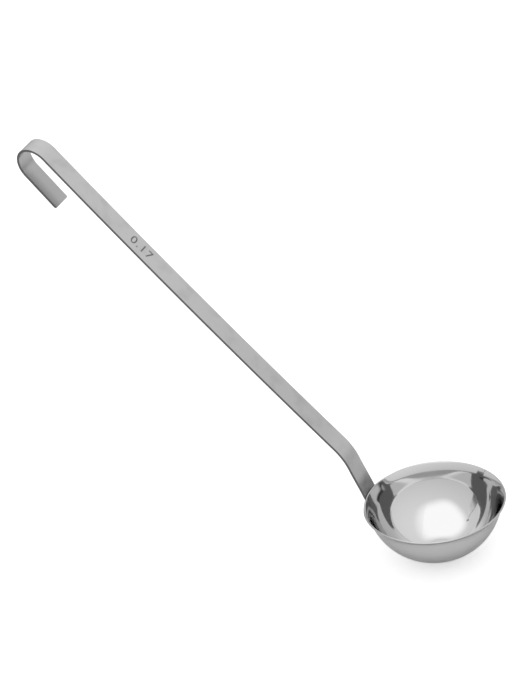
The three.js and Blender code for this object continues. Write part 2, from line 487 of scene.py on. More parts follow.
class StripWalk:
    """Places, curls and width shares of the strip's front face."""

    def __init__(self, bowl, handle, weld):
        self.bowl, self.handle, self.weld = bowl, handle, weld
        self.x = self.z = self.lean = 0.0
        self.places, self.curls, self.shares, self.leans = [], [], [], []
        self.hook_start = 0

    def add(self, curl, share):
        self.places.append((self.x, 0.0, self.z))
        self.curls.append(curl)
        self.shares.append(share)
        self.leans.append(self.lean)

    def advance(self, length, turn):
        lean = self.lean + turn / 2
        self.x -= length * math.sin(lean)
        self.z += length * math.cos(lean)
        self.lean += turn

    def sweep(self, length, turn, step, curl_at):
        steps = max(2, math.ceil(length / step))
        chord = length * math.sin(turn / steps / 2) / (turn / 2) if turn else length / steps
        for i in range(1, steps + 1):
            self.advance(chord, turn / steps)
            self.add(curl_at(i / steps), 1.0)

    def rounded(self, distance, corner):
        half = self.handle.width / 2
        if distance >= corner:
            return 1.0
        return (half - corner + math.sqrt(corner**2 - (corner - distance) ** 2)) / half

    def tab(self, down):
        r, z, self.lean = wall_point(self.bowl, down)
        self.x = -(r + self.weld.gap * math.cos(self.lean))
        self.z = z - self.weld.gap * math.sin(self.lean)
        self.add(1.0, self.rounded(self.handle.tab_length - down, self.handle.tab_corner))

    def walk(self):
        bowl, handle = self.bowl, self.handle
        for angle in np.linspace(0, math.pi / 2, END_STEPS, endpoint=False):
            self.tab(handle.tab_length - handle.tab_corner * (1 - math.cos(angle)))
        plain = handle.tab_length - handle.tab_corner
        for down in np.linspace(plain, 0, math.ceil(plain / TAB_STEP)):
            self.tab(down)
        to_lip = bowl.lip_drop / math.cos(bowl.wall_lean)
        self.sweep(to_lip + handle.curl_hold, 0, BEND_STEP, lambda share: 1.0)
        self.sweep(
            handle.neck_length - handle.curl_hold,
            0,
            BEND_STEP,
            lambda share: 1 - share * share * (3 - 2 * share),
        )
        neck_turn = handle.lean_low - bowl.wall_lean
        self.sweep(handle.neck_radius * neck_turn, neck_turn, BEND_STEP, lambda share: 0.0)
        run_turn = handle.lean_high - handle.lean_low
        self.sweep(handle.run_length, run_turn, RUN_STEP, lambda share: 0.0)
        self.hook_start = len(self.places) - 1
        turn = handle.hook_turn / HOOK_STEPS
        for i in range(HOOK_STEPS):
            radius = hook_radius_at(handle, (i + 0.5) / HOOK_STEPS)
            self.advance(2 * radius * math.sin(turn / 2), turn)
            self.add(0.0, 1.0)
        self.sweep(handle.return_length - handle.return_corner, 0, RUN_STEP, lambda share: 0.0)
        reached = 0.0
        for angle in np.linspace(0, math.pi / 2, END_STEPS)[1:]:
            after = math.sin(angle)
            self.advance(handle.return_corner * (after - reached), 0)
            reached = after
            left = handle.return_corner * (1 - after)
            self.add(0.0, self.rounded(left, handle.return_corner))
        return self

    def walked(self):
        """Length walked to each place."""
        steps = np.linalg.norm(np.diff(self.places, axis=0), axis=1)
        return np.concatenate(((0.0,), np.cumsum(steps)))


def strip_profile(handle):
    """The strip's section: across the strip, and depth behind the front face."""
    half, edge_round = handle.width / 2, handle.edge_round
    points = []
    corners = (
        (-half + edge_round, edge_round, math.pi),
        (half - edge_round, edge_round, 1.5 * math.pi),
        (half - edge_round, handle.sheet - edge_round, 0.0),
        (-half + edge_round, handle.sheet - edge_round, 0.5 * math.pi),
    )
    face_steps = math.ceil(handle.width / TAB_STEP)
    for k, (across, depth, start) in enumerate(corners):
        for angle in np.linspace(start, start + math.pi / 2, EDGE_STEPS):
            points.append((across + edge_round * math.cos(angle), depth + edge_round * math.sin(angle), 0))
        if k % 2 == 0:
            ahead = corners[k + 1][0]
            edge = points[-1][1]
            for x in np.linspace(across, ahead, face_steps + 1)[1:-1]:
                points.append((x, edge, 0))
    return points


# Geometry Nodes


def wire(name, points, closed=False, **attributes):
    """A mesh of points joined in order, with a number for each point under each attribute's name."""
    mesh = bpy.data.meshes.new(name)
    count = len(points)
    mesh.from_pydata(points, [(i, (i + 1) % count) for i in range(count if closed else count - 1)], [])
    for key, values in attributes.items():
        mesh.attributes.new(key, "FLOAT", "POINT").data.foreach_set("value", values)
    piece = bpy.data.objects.new(name, mesh)
    bpy.context.scene.collection.objects.link(piece)
    return piece


def new_tree(name, inputs):
    """A Geometry Nodes tree with a geometry input, named inputs and a geometry output."""
    tree = bpy.data.node_groups.new(name, "GeometryNodeTree")
    tree.interface.new_socket("Geometry", in_out="INPUT", socket_type="NodeSocketGeometry")
    for label, kind in inputs:
        tree.interface.new_socket(label, in_out="INPUT", socket_type=kind)
    tree.interface.new_socket("Geometry", in_out="OUTPUT", socket_type="NodeSocketGeometry")
    return tree


def finish_tree(tree, geometry, material):
    """Smooth faces, the material, and real geometry at the output."""
    smooth = add_node(tree, "GeometryNodeSetShadeSmooth", {"Geometry": geometry})
    painted = add_node(
        tree, "GeometryNodeSetMaterial", {"Geometry": smooth.outputs[0], "Material": material}
    )
    real = add_node(tree, "GeometryNodeRealizeInstances", {0: painted.outputs[0]})
    add_node(tree, "NodeGroupOutput", {0: real.outputs[0]})


def lathe_tree():
    """Turns three sections about Z: at -X the upright one with its rise, and then the turned-out one."""
    tree = new_tree(
        "Ladle bowl lathe",
        [
            ("Points", "NodeSocketInt"),
            ("Segments", "NodeSocketInt"),
            ("Rise Hold", "NodeSocketFloat"),
            ("Rise Fade", "NodeSocketFloat"),
            ("Lip Hold", "NodeSocketFloat"),
            ("Lip Fade", "NodeSocketFloat"),
            ("Merge", "NodeSocketFloat"),
            ("Material", "NodeSocketMaterial"),
        ],
    )
    inlet = add_node(tree, "NodeGroupInput").outputs
    last = add_node(tree, "ShaderNodeMath", {0: inlet["Points"], 1: 1.0}, operation="SUBTRACT")
    rows = add_node(tree, "ShaderNodeMath", {0: inlet["Segments"], 1: 1.0}, operation="ADD")
    grid = add_node(
        tree,
        "GeometryNodeMeshGrid",
        {
            "Size X": last.outputs[0],
            "Size Y": 2 * math.pi,
            "Vertices X": inlet["Points"],
            "Vertices Y": rows.outputs[0],
        },
    )
    place = add_node(
        tree,
        "ShaderNodeSeparateXYZ",
        {0: add_node(tree, "GeometryNodeInputPosition").outputs[0]},
    )
    half = add_node(tree, "ShaderNodeMath", {0: last.outputs[0], 1: 0.5}, operation="MULTIPLY")
    shifted = add_node(
        tree, "ShaderNodeMath", {0: place.outputs["X"], 1: half.outputs[0]}, operation="ADD"
    )
    index = add_node(tree, "ShaderNodeMath", {0: shifted.outputs[0]}, operation="ROUND")
    sections = []
    for skip in range(3):
        which = add_node(
            tree,
            "ShaderNodeMath",
            {0: inlet["Points"], 1: skip, 2: index.outputs[0]},
            operation="MULTIPLY_ADD",
        )
        sampled = add_node(
            tree,
            "GeometryNodeSampleIndex",
            {
                "Geometry": inlet["Geometry"],
                "Value": add_node(tree, "GeometryNodeInputPosition").outputs[0],
                "Index": which.outputs[0],
            },
            data_type="FLOAT_VECTOR",
            domain="POINT",
        )
        sections.append(sampled.outputs[0])
    turned_out, upright, raised = sections
    away = add_node(tree, "ShaderNodeMath", {0: place.outputs["Y"]}, operation="ABSOLUTE")
    shares = [
        add_node(
            tree,
            "ShaderNodeMapRange",
            {"Value": away.outputs[0], "From Min": inlet[hold], "From Max": inlet[fade], **ends},
            interpolation_type="SMOOTHSTEP",
        ).outputs["Result"]
        for hold, fade, ends in (
            ("Lip Hold", "Lip Fade", {}),
            ("Rise Hold", "Rise Fade", {"To Min": 1.0, "To Max": 0.0}),
        )
    ]
    section = upright
    for target, share in zip((turned_out, raised), shares):
        gap = add_node(tree, "ShaderNodeVectorMath", {0: target, 1: upright}, operation="SUBTRACT")
        section = add_node(
            tree,
            "ShaderNodeVectorMath",
            {0: gap.outputs[0], 1: share, 2: section},
            operation="MULTIPLY_ADD",
        ).outputs[0]
    parts = add_node(tree, "ShaderNodeSeparateXYZ", {0: section})
    inward = add_node(
        tree, "ShaderNodeMath", {0: parts.outputs["X"], 1: -1.0}, operation="MULTIPLY"
    )
    turned = []
    for operation in ("COSINE", "SINE"):
        angle = add_node(tree, "ShaderNodeMath", {0: place.outputs["Y"]}, operation=operation)
        turned.append(
            add_node(
                tree,
                "ShaderNodeMath",
                {0: inward.outputs[0], 1: angle.outputs[0]},
                operation="MULTIPLY",
            )
        )
    point = add_node(
        tree,
        "ShaderNodeCombineXYZ",
        {"X": turned[0].outputs[0], "Y": turned[1].outputs[0], "Z": parts.outputs["Z"]},
    )
    shell = add_node(
        tree,
        "GeometryNodeSetPosition",
        {"Geometry": grid.outputs["Mesh"], "Position": point.outputs[0]},
    )
    merged = add_node(
        tree,
        "GeometryNodeMergeByDistance",
        {"Geometry": shell.outputs[0], "Distance": inlet["Merge"]},
    )
    finish_tree(tree, merged.outputs[0], inlet["Material"])
    return tree


def strip_tree():
    """Sweeps the strip's section along its path, narrows its ends, and curls it about the Z axis."""
    tree = new_tree(
        "Ladle strip sweep",
        [
            ("Profile", "NodeSocketObject"),
            ("Material", "NodeSocketMaterial"),
        ],
    )
    inlet = add_node(tree, "NodeGroupInput").outputs
    path = add_node(tree, "GeometryNodeMeshToCurve", {"Mesh": inlet["Geometry"]})
    upright = add_node(
        tree,
        "GeometryNodeSetCurveNormal",
        {"Curve": path.outputs[0], "Normal": (0.0, 1.0, 0.0)},
        mode="FREE",
    )
    length = add_node(tree, "GeometryNodeSplineParameter").outputs["Length"]
    walked = add_node(
        tree,
        "GeometryNodeStoreNamedAttribute",
        {"Geometry": upright.outputs[0], "Name": "walked", "Value": length},
        data_type="FLOAT",
        domain="POINT",
    )
    outline = add_node(tree, "GeometryNodeObjectInfo", {"Object": inlet["Profile"]})
    profile = add_node(tree, "GeometryNodeMeshToCurve", {"Mesh": outline.outputs["Geometry"]})
    across = add_node(
        tree,
        "ShaderNodeSeparateXYZ",
        {0: add_node(tree, "GeometryNodeInputPosition").outputs[0]},
    ).outputs["X"]
    spread = add_node(
        tree,
        "GeometryNodeStoreNamedAttribute",
        {"Geometry": profile.outputs[0], "Name": "across", "Value": across},
        data_type="FLOAT",
        domain="POINT",
    )
    swept = add_node(
        tree,
        "GeometryNodeCurveToMesh",
        {"Curve": walked.outputs[0], "Profile Curve": spread.outputs[0], "Fill Caps": True},
    )
    named = {}
    for name in ("curl", "share", "across", "walked"):
        node = add_node(tree, "GeometryNodeInputNamedAttribute", {"Name": name}, data_type="FLOAT")
        named[name] = node.outputs["Attribute"]
    place = add_node(
        tree,
        "ShaderNodeSeparateXYZ",
        {0: add_node(tree, "GeometryNodeInputPosition").outputs[0]},
    )
    narrowed = add_node(
        tree,
        "ShaderNodeMath",
        {0: place.outputs["Y"], 1: named["share"]},
        operation="MULTIPLY",
    )
    turn = add_node(
        tree,
        "ShaderNodeMath",
        {0: narrowed.outputs[0], 1: place.outputs["X"]},
        operation="DIVIDE",
    )
    curled = []
    for operation, flat in (("COSINE", place.outputs["X"]), ("SINE", narrowed.outputs[0])):
        angle = add_node(tree, "ShaderNodeMath", {0: turn.outputs[0]}, operation=operation)
        bent = add_node(
            tree,
            "ShaderNodeMath",
            {0: place.outputs["X"], 1: angle.outputs[0]},
            operation="MULTIPLY",
        )
        curled.append(
            add_node(
                tree,
                "ShaderNodeMix",
                {"Factor": named["curl"], "A": flat, "B": bent.outputs[0]},
                data_type="FLOAT",
            ).outputs["Result"]
        )
    point = add_node(
        tree,
        "ShaderNodeCombineXYZ",
        {"X": curled[0], "Y": curled[1], "Z": place.outputs["Z"]},
    )
    bent = add_node(
        tree,
        "GeometryNodeSetPosition",
        {"Geometry": swept.outputs[0], "Position": point.outputs[0]},
    )
    run = add_node(
        tree, "ShaderNodeCombineXYZ", {"X": named["across"], "Y": named["walked"]}
    )
    mapped = add_node(
        tree,
        "GeometryNodeStoreNamedAttribute",
        {"Geometry": bent.outputs[0], "Name": "UVMap", "Value": run.outputs[0]},
        data_type="FLOAT2",
        domain="CORNER",
    )
    finish_tree(tree, mapped.outputs[0], inlet["Material"])
    return tree


def grow(base, tree, values, name):
    """Runs a tree on an object, keeps the result as a plain mesh, and removes the object."""
    modifier = base.modifiers.new("Grow", "NODES")
    modifier.node_group = tree
    for item in tree.interface.items_tree:
        if item.item_type == "SOCKET" and item.in_out == "INPUT" and item.name in values:
            modifier[item.identifier] = values[item.name]
    bpy.context.view_layer.update()
    evaluated = base.evaluated_get(bpy.context.evaluated_depsgraph_get())
    mesh = bpy.data.meshes.new_from_object(evaluated)
    mesh.name = name
    base.modifiers.remove(modifier)
    bpy.data.objects.remove(base)
    piece = bpy.data.objects.new(name, mesh)
    bpy.context.scene.collection.objects.link(piece)
    return piece


def face_outwards(piece):
    """Turns a closed mesh's faces outwards."""
    mesh = piece.data
    mesh.calc_loop_triangles()
    points = np.empty(len(mesh.vertices) * 3, np.float32)
    mesh.vertices.foreach_get("co", points)
    corners = np.empty(len(mesh.loop_triangles) * 3, np.int32)
    mesh.loop_triangles.foreach_get("vertices", corners)
    a, b, c = points.reshape(-1, 3)[corners].reshape(-1, 3, 3).transpose(1, 0, 2)
    if (np.cross(a, b) * c).sum() < 0:
        mesh.flip_normals()


def drop_attributes(piece, names):
    for name in names:
        piece.data.attributes.remove(piece.data.attributes[name])


# Materials


def new_material(name):
    material = bpy.data.materials.new(name)
    material.use_nodes = True
    material.node_tree.nodes.clear()
    return material, material.node_tree


def bowl_steel(finish, bowl):
    """Mirror-polished 18-chrome stainless steel, drawn and then buffed on a turning wheel.

    It reflects like a mirror, with slight waves left by drawing and faint rings left by buffing.
    The trimmed edge of its lip is greyer, and so are its outlines, where the eye only grazes it.
    """
    material, tree = new_material("Mirror-polished stainless steel")
    coords = add_node(tree, "ShaderNodeTexCoord").outputs["Object"]
    waves = add_node(
        tree,
        "ShaderNodeTexNoise",
        {"Vector": coords, "Scale": 1 / (22 * MM), "Detail": 1.0},
    )
    rings = add_node(
        tree,
        "ShaderNodeTexWave",
        {"Vector": coords, "Scale": 1 / (6 * MM), "Distortion": 0.4, "Detail": 1.0},
        wave_type="RINGS",
        rings_direction="Z",
    )
    haze = add_node(
        tree,
        "ShaderNodeMapRange",
        {"Value": rings.outputs["Fac"], "To Min": 0.045, "To Max": 0.075},
    )
    bump = add_node(
        tree,
        "ShaderNodeBump",
        {"Height": waves.outputs["Fac"], "Strength": 1.0, "Distance": 0.04 * MM},
    )
    flat = add_node(
        tree, "ShaderNodeVectorMath", {0: coords, 1: (1.0, 1.0, 0.0)}, operation="MULTIPLY"
    )
    radius = add_node(
        tree, "ShaderNodeVectorMath", {0: flat.outputs[0]}, operation="LENGTH"
    ).outputs["Value"]
    trimmed = fade(tree, radius, bowl.lip_radius - bowl.sheet, bowl.lip_radius - bowl.sheet / 2)
    links = {"Factor": trimmed, "A": (*finish.polished, 1.0), "B": (*finish.trimmed, 1.0)}
    colour = add_node(tree, "ShaderNodeMix", links, data_type="RGBA").outputs["Result"]
    shader = add_node(
        tree,
        "ShaderNodeBsdfPrincipled",
        {
            "Base Color": colour,
            "Metallic": 1.0,
            "Specular Tint": (0.65, 0.65, 0.65, 1.0),
            "Roughness": haze.outputs["Result"],
            "Normal": bump.outputs["Normal"],
        },
    )
    add_node(tree, "ShaderNodeOutputMaterial", {"Surface": shader.outputs[0]})
    return material


def strip_steel(finish, handle, lip_at, return_at):
    """Stainless strip with the mill's satin finish, ground along its length.

    It gives soft reflections that stretch across the strip, with fine lines along it. Its slit
    edges are dark. A darker colour paints shade on the tab and the neck next to the bowl, across
    the return and along the lower run, and gives it random mottled patches too.
    """
    material, tree = new_material("Satin stainless strip")
    coords = add_node(tree, "ShaderNodeUVMap", uv_map="UVMap").outputs[0]
    drawn = add_node(
        tree,
        "ShaderNodeMapping",
        {"Vector": coords, "Scale": (1 / (0.35 * MM), 1 / (30 * MM), 1.0)},
    )
    grain = add_node(
        tree, "ShaderNodeTexNoise", {"Vector": drawn.outputs[0], "Scale": 1.0, "Detail": 3.0}
    )
    cloud = add_node(
        tree,
        "ShaderNodeTexNoise",
        {"Vector": coords, "Scale": 1 / (14 * MM), "Detail": 2.0},
    )
    rough = add_node(
        tree,
        "ShaderNodeMapRange",
        {"Value": cloud.outputs["Fac"], "To Min": 0.26, "To Max": 0.36},
    )
    place = add_node(tree, "ShaderNodeSeparateXYZ", {0: coords})
    across, walked = place.outputs["X"], place.outputs["Y"]
    # Painted shade: the welded tab and the neck next to the bowl are darker, in random patches.
    neck = fade(tree, walked, lip_at + 8 * MM, lip_at + 17 * MM, 1.0, 0.0)
    patchy = fade(tree, cloud.outputs["Fac"], 0.35, 0.65, 0.65, 1.1)
    # Random mottled patches of darker tone, with painted shade added along the lower run, strongest a
    # little above the neck.
    mottle_and_lower_shade = fade(tree, cloud.outputs["Fac"], 0.45, 0.75, 0.0, 0.18)
    lower = fade(tree, walked, lip_at + 60 * MM, lip_at + 240 * MM, 0.25, 0.0)
    above_neck = fade(tree, walked, lip_at + 25 * MM, lip_at + 60 * MM)
    mottle_and_lower_shade = calc(tree, "ADD", mottle_and_lower_shade, calc(tree, "MULTIPLY", lower, above_neck))
    half = handle.width / 2
    # Painted shade across the hook's return, darker towards one long edge.
    shade_across = fade(tree, across, -half, 0.2 * half, 0.85, 0.4)
    bent = fade(tree, walked, return_at - 14 * MM, return_at + 4 * MM)
    neck_and_return_shade = calc(tree, "MULTIPLY", bent, shade_across)
    # The neck's painted shade joins the return's painted shade here.
    neck_and_return_shade = calc(tree, "MAXIMUM", neck_and_return_shade, calc(tree, "MULTIPLY", neck, patchy))
    edge = fade(
        tree, calc(tree, "ABSOLUTE", across), half - 1.2 * handle.edge_round, half - 0.1 * MM
    )
    colour = (*finish.satin, 1.0)
    # The darker colour mixed in first is painted shade and random mottle; the slit edges get their own
    # colour.
    shares = (
        (calc(tree, "MAXIMUM", neck_and_return_shade, mottle_and_lower_shade), finish.shade_and_mottle),
        (edge, finish.slit),
    )
    for share, other in shares:
        links = {"Factor": share, "A": colour, "B": (*other, 1.0)}
        colour = add_node(tree, "ShaderNodeMix", links, data_type="RGBA").outputs["Result"]
    bump = add_node(
        tree,
        "ShaderNodeBump",
        {"Height": grain.outputs["Fac"], "Strength": 0.5, "Distance": 0.01 * MM},
    )
    shader = add_node(
        tree,
        "ShaderNodeBsdfPrincipled",
        {
            "Base Color": colour,
            "Metallic": 1.0,
            "Roughness": rough.outputs["Result"],
            "Normal": bump.outputs["Normal"],
        },
    )
    add_node(tree, "ShaderNodeOutputMaterial", {"Surface": shader.outputs[0]})
    return material


def weld_steel(finish):
    """Fused stainless steel of a spot weld, frozen rough and matt."""
    material, tree = new_material("Fused stainless steel")
    coords = add_node(tree, "ShaderNodeTexCoord").outputs["Object"]
    grain = add_node(tree, "ShaderNodeTexNoise", {"Vector": coords, "Scale": 1 / (0.6 * MM)})
    bump = add_node(
        tree, "ShaderNodeBump", {"Height": grain.outputs["Fac"], "Distance": 0.05 * MM}
    )
    shader = add_node(
        tree,
        "ShaderNodeBsdfPrincipled",
        {
            "Base Color": (*finish.fused, 1.0),
            "Metallic": 1.0,
            "Roughness": 0.6,
            "Normal": bump.outputs["Normal"],
        },
    )
    add_node(tree, "ShaderNodeOutputMaterial", {"Surface": shader.outputs[0]})
    return material


def number_shade_steel(finish):
    """Steel roughened by etching, for the number; its dark colour is painted shade in place of the
    numerals' grooves.
    """
    material, tree = new_material("Stainless steel with painted number shade")
    coords = add_node(tree, "ShaderNodeTexCoord").outputs["Object"]
    patches = add_node(
        tree, "ShaderNodeTexNoise", {"Vector": coords, "Scale": 1 / (1.2 * MM), "Detail": 2.0}
    )
    rough = add_node(
        tree,
        "ShaderNodeMapRange",
        {"Value": patches.outputs["Fac"], "To Min": 0.55, "To Max": 0.8},
    )
    shader = add_node(
        tree,
        "ShaderNodeBsdfPrincipled",
        {
            "Base Color": (*finish.number_shade, 1.0),
            "Metallic": 1.0,
            "Roughness": rough.outputs["Result"],
        },
    )
    add_node(tree, "ShaderNodeOutputMaterial", {"Surface": shader.outputs[0]})
    return material


# Operators


class LADLE_OT_bowl(bpy.types.Operator):
    """Turn the drawn bowl, with its lip turned out and an upright ear at the handle"""

    bl_idname = "ladle.bowl"
    bl_label = "Bowl"

    def execute(self, context):
        bowl, finish = context.scene.ladle_bowl, context.scene.ladle_finish
        lips = (turned_lip(bowl), upright_lip(bowl), upright_lip(bowl, bowl.ear_rise))
        sections = [sheet_section(bowl, lip) for lip in lips]
        places = [(r, 0.0, z) for section in sections for r, z in section]
        piece = grow(
            wire("bowl_sections", places),
            lathe_tree(),
            {
                "Points": len(sections[0]),
                "Segments": bowl.segments,
                "Rise Hold": bowl.rise_hold,
                "Rise Fade": bowl.rise_fade,
                "Lip Hold": bowl.ear_hold,
                "Lip Fade": bowl.ear_fade,
                "Merge": 0.002 * MM,
                "Material": bowl_steel(finish, bowl),
            },
            "bowl_drawn",
        )
        face_outwards(piece)
        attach(piece, ROOT)
        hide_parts("bowl")
        return {"FINISHED"}


class LADLE_OT_handle(bpy.types.Operator):
    """Sweep the strip from its welded tab to the tip of its hook"""

    bl_idname = "ladle.handle"
    bl_label = "Handle"

    def execute(self, context):
        scene = context.scene
        bowl, handle, weld = scene.ladle_bowl, scene.ladle_handle, scene.ladle_weld
        walk = StripWalk(bowl, handle, weld).walk()
        path = wire("strip_path", walk.places, curl=walk.curls, share=walk.shares)
        lip_at = handle.tab_length + bowl.lip_drop / math.cos(bowl.wall_lean)
        return_at = walk.walked()[walk.hook_start + HOOK_STEPS]
        steel = strip_steel(scene.ladle_finish, handle, lip_at, return_at)
        profile = wire("strip_profile", strip_profile(handle), closed=True)
        piece = grow(
            path,
            strip_tree(),
            {"Profile": profile, "Material": steel},
            "handle_strip",
        )
        bpy.data.objects.remove(profile)
        drop_attributes(piece, ("curl", "share", "across", "walked"))
        face_outwards(piece)
        press_marks(piece, bowl, handle, weld)
        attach(piece, ROOT)
        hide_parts("handle")
        return {"FINISHED"}


def press_marks(piece, bowl, handle, weld):
    """Presses the shallow marks of the welding electrode into the tab's back face."""
    points = np.empty(len(piece.data.vertices) * 3, np.float32)
    piece.data.vertices.foreach_get("co", points)
    points = points.reshape(-1, 3)
    for down in (weld.inset, weld.inset + weld.pitch):
        r, z, lean = wall_point(bowl, down)
        normal = np.array((-math.cos(lean), 0.0, -math.sin(lean)))
        centre = np.array((-r, 0.0, z)) + (weld.gap + handle.sheet) * normal
        offset = points - centre
        out = offset @ normal
        radial = np.linalg.norm(offset - np.outer(out, normal), axis=1)
        pressed = (radial < weld.mark_radius) & (np.abs(out) < handle.sheet / 2)
        depth = weld.mark_depth * (1 - (radial[pressed] / weld.mark_radius) ** 2)
        points[pressed] -= np.outer(depth, normal)
    piece.data.vertices.foreach_set("co", points.ravel())
    piece.data.update()


class LADLE_OT_welds(bpy.types.Operator):
    """Give the two weld nuggets their fused steel"""

    bl_idname = "ladle.welds"
    bl_label = "Welds"

    def execute(self, context):
        material = weld_steel(context.scene.ladle_finish)
        for name in WELDS:
            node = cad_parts[name]
            node.data.materials.clear()
            node.data.materials.append(material)
        return {"FINISHED"}


class LADLE_OT_number(bpy.types.Operator):
    """Etch a plain capacity number into the front of the handle"""

    bl_idname = "ladle.number"
    bl_label = "Number"

    def execute(self, context):
        scene = context.scene
        handle, number = scene.ladle_handle, scene.ladle_number
        walk = StripWalk(scene.ladle_bowl, handle, scene.ladle_weld).walk()
        places, leans = np.array(walk.places), np.array(walk.leans)
        walked = walk.walked()
        target = walked[walk.hook_start] - number.below_hook
        x, z, lean = (
            np.interp(target, walked, values) for values in (places[:, 0], places[:, 2], leans)
        )
        curve = bpy.data.curves.new("number_text", "FONT")
        curve.body = number.text
        curve.size = number.height / 0.7
        curve.align_x = curve.align_y = "CENTER"
        curve.extrude = 0.01 * MM
        curve.space_character = 1.15
        text = bpy.data.objects.new("number_text", curve)
        scene.collection.objects.link(text)
        bpy.context.view_layer.update()
        evaluated = text.evaluated_get(bpy.context.evaluated_depsgraph_get())
        mesh = bpy.data.meshes.new_from_object(evaluated)
        bpy.data.objects.remove(text)
        down = Vector((math.sin(lean), 0.0, -math.cos(lean)))
        out = Vector((math.cos(lean), 0.0, math.sin(lean)))
        up = out.cross(down)
        turn = Matrix((down, up, out)).transposed().to_4x4()
        mesh.transform(Matrix.Translation(Vector((x, 0.0, z))) @ turn)
        # The number's dark material paints the shade of the numerals' grooves.
        mesh.materials.clear()
        mesh.materials.append(number_shade_steel(scene.ladle_finish))
        piece = bpy.data.objects.new("handle_number", mesh)
        scene.collection.objects.link(piece)
        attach(piece, ROOT)
        return {"FINISHED"}


class LADLE_OT_stage(bpy.types.Operator):
    """Set up the floor, the plain studio light and the camera"""

    bl_idname = "ladle.stage"
    bl_label = "Stage"

    def execute(self, context):
        make_floor()
        make_world()
        make_camera()
        context.scene.view_settings.view_transform = "Standard"
        return {"FINISHED"}


# The room. Places in the soft box's plane are shares of its height above the object.
ROOM_LEVEL = 0.87
ROOM_SLOPE = (0.047, 0.065, 0.265)
SOFT_BOX = {
    "strength": 1.63,
    "turn": math.radians(39),
    "centre": (-0.157, 0.0),
    "half": (0.686, 0.82),
    "squareness": 2.8,
    "softness": 0.34,
    "seam": (math.radians(24), 0.37),
}
SEAM_SHARE = 0.75
HORIZON = (math.radians(6.0), math.radians(8.5))
HORIZON_SHARE = 0.55
# Angles from straight up; to the right is +X and to the back +Y.
FLAG = {
    "top": (math.radians(-34), math.radians(-20)),
    "step": (math.radians(18), math.radians(32)),
    "foot": (math.radians(63), math.radians(66.5)),
    "foot_step": (math.radians(20), math.radians(27)),
    "hem": (math.radians(61.5), math.radians(63.5)),
    "end": math.radians(-10.5),
    "piece": (math.radians(-26), math.radians(-50)),
    "soft": math.radians(1.5),
    "share": 0.2,
    "often": 0.3,
}
LATER_LEVEL = 1.25
LATER_BOX = 1.9
OFTEN_LIFT = 0.6
# The floor: white under the object, and dim beyond in what the metal reflects.
FLOOR_HALF = 6.0
FLOOR_NEAR = (0.10, 0.16)
FLOOR_WHITE = 0.8
FLOOR_DIM = 0.8
FLOOR_GLOW = 0.45
FLOOR_GLOSS_GLOW = 0.12


def make_floor():
    """A white floor under the bowl that keeps its shadow."""
    material, tree = new_material("White floor")
    path = add_node(tree, "ShaderNodeLightPath").outputs
    place = add_node(tree, "ShaderNodeTexCoord").outputs["Object"]
    away = add_node(tree, "ShaderNodeVectorMath", {0: place}, operation="LENGTH").outputs["Value"]
    far = calc(tree, "MULTIPLY", fade(tree, away, *FLOOR_NEAR), path["Is Glossy Ray"])
    links = {"Factor": far, "A": FLOOR_WHITE, "B": FLOOR_DIM}
    shade = add_node(tree, "ShaderNodeMix", links, data_type="FLOAT").outputs["Result"]
    matt = add_node(tree, "ShaderNodeBsdfDiffuse", {"Color": shade})
    seen = calc(tree, "MAXIMUM", path["Is Camera Ray"], path["Is Transmission Ray"])
    near = calc(tree, "SUBTRACT", path["Is Glossy Ray"], far)
    strength = calc(
        tree, "MULTIPLY_ADD", near, FLOOR_GLOSS_GLOW, calc(tree, "MULTIPLY", seen, FLOOR_GLOW)
    )
    glow = add_node(
        tree, "ShaderNodeEmission", {"Color": (1.0, 1.0, 1.0, 1.0), "Strength": strength}
    )
    both = add_node(tree, "ShaderNodeAddShader", {0: glow.outputs[0], 1: matt.outputs[0]})
    add_node(tree, "ShaderNodeOutputMaterial", {"Surface": both.outputs[0]})
    half = FLOOR_HALF
    mesh = bpy.data.meshes.new("floor")
    mesh.from_pydata(
        [(-half, -half, 0), (half, -half, 0), (half, half, 0), (-half, half, 0)], [], [(0, 1, 2, 3)]
    )
    mesh.materials.append(material)
    floor = bpy.data.objects.new("floor", mesh)
    bpy.context.scene.collection.objects.link(floor)


def soft_box(tree, direction, height):
    """Share of the soft box overhead in a direction: a panel with round corners, one edge sharp."""
    turn = SOFT_BOX["turn"]
    along = Vector((math.cos(turn), math.sin(turn), -SOFT_BOX["centre"][0])) / SOFT_BOX["half"][0]
    across = Vector((-math.sin(turn), math.cos(turn), -SOFT_BOX["centre"][1])) / SOFT_BOX["half"][1]
    powers = []
    for axis in (along, across):
        dot = add_node(
            tree, "ShaderNodeVectorMath", {0: direction, 1: axis}, operation="DOT_PRODUCT"
        ).outputs["Value"]
        share = calc(tree, "ABSOLUTE", calc(tree, "DIVIDE", dot, height))
        powers.append(calc(tree, "POWER", share, SOFT_BOX["squareness"]))
    reach = calc(tree, "POWER", calc(tree, "ADD", *powers), 1 / SOFT_BOX["squareness"])
    share = fade(tree, reach, 1 - SOFT_BOX["softness"], 1 + SOFT_BOX["softness"], 1.0, 0.0)
    turn, place = SOFT_BOX["seam"]
    line = (math.cos(turn), math.sin(turn), -place)
    beyond = add_node(
        tree, "ShaderNodeVectorMath", {0: direction, 1: line}, operation="DOT_PRODUCT"
    ).outputs["Value"]
    return calc(tree, "MULTIPLY", share, fade(tree, beyond, -0.01, 0.02, 1.0, SEAM_SHARE))


def first_light(tree, direction, height):
    """What the metal shows: a white room, brighter towards the top, with a soft box overhead."""
    slope = add_node(
        tree, "ShaderNodeVectorMath", {0: direction, 1: ROOM_SLOPE}, operation="DOT_PRODUCT"
    ).outputs["Value"]
    room = calc(tree, "ADD", slope, ROOM_LEVEL)
    above = calc(tree, "MAXIMUM", height, 0.001)
    box = soft_box(tree, direction, above)
    lit = calc(
        tree, "MULTIPLY_ADD", calc(tree, "SUBTRACT", SOFT_BOX["strength"], room), box, room
    )
    low, high = (math.sin(angle) for angle in HORIZON)
    return calc(tree, "MULTIPLY", lit, fade(tree, height, low, high, HORIZON_SHARE, 1.0))


